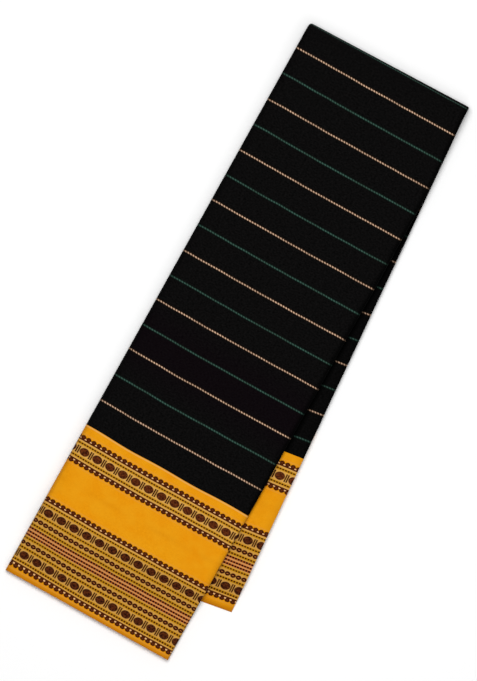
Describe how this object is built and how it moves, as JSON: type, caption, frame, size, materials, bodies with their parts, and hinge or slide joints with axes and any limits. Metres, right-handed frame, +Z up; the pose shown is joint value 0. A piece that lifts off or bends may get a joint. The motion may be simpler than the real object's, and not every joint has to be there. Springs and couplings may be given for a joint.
{
  "type": "folded saree",
  "caption": "Cotton saree folded into a long flat strip and once across, a little askew: black field with fine lines, wide mustard borders, lying flat.",
  "frame": {"origin": "on the table under the middle of the folded saree's bounding box", "axes": "+X across the strip towards the side that the lower flap swings out to, +Y along the strip towards the cross fold, +Z up from the table"},
  "size_m": [0.2066, 0.5988, 0.0239],
  "materials": {
    "black_field": "matt plain-weave cotton with fine gold and teal-green lines",
    "mustard_border": "soft-sheened cotton with woven maroon and olive bands"
  },
  "bodies": {
    "root": {"outer_ply_field": "black_field", "hidden_layers_field": "black_field", "inner_ply_field": "black_field", "outer_ply_upper_border": "mustard_border", "hidden_layers_upper_border": "mustard_border", "inner_ply_upper_border": "mustard_border", "outer_ply_lower_border": "mustard_border", "hidden_layers_lower_border": "mustard_border", "inner_ply_lower_border": "mustard_border"}
  },
  "joints": []
}
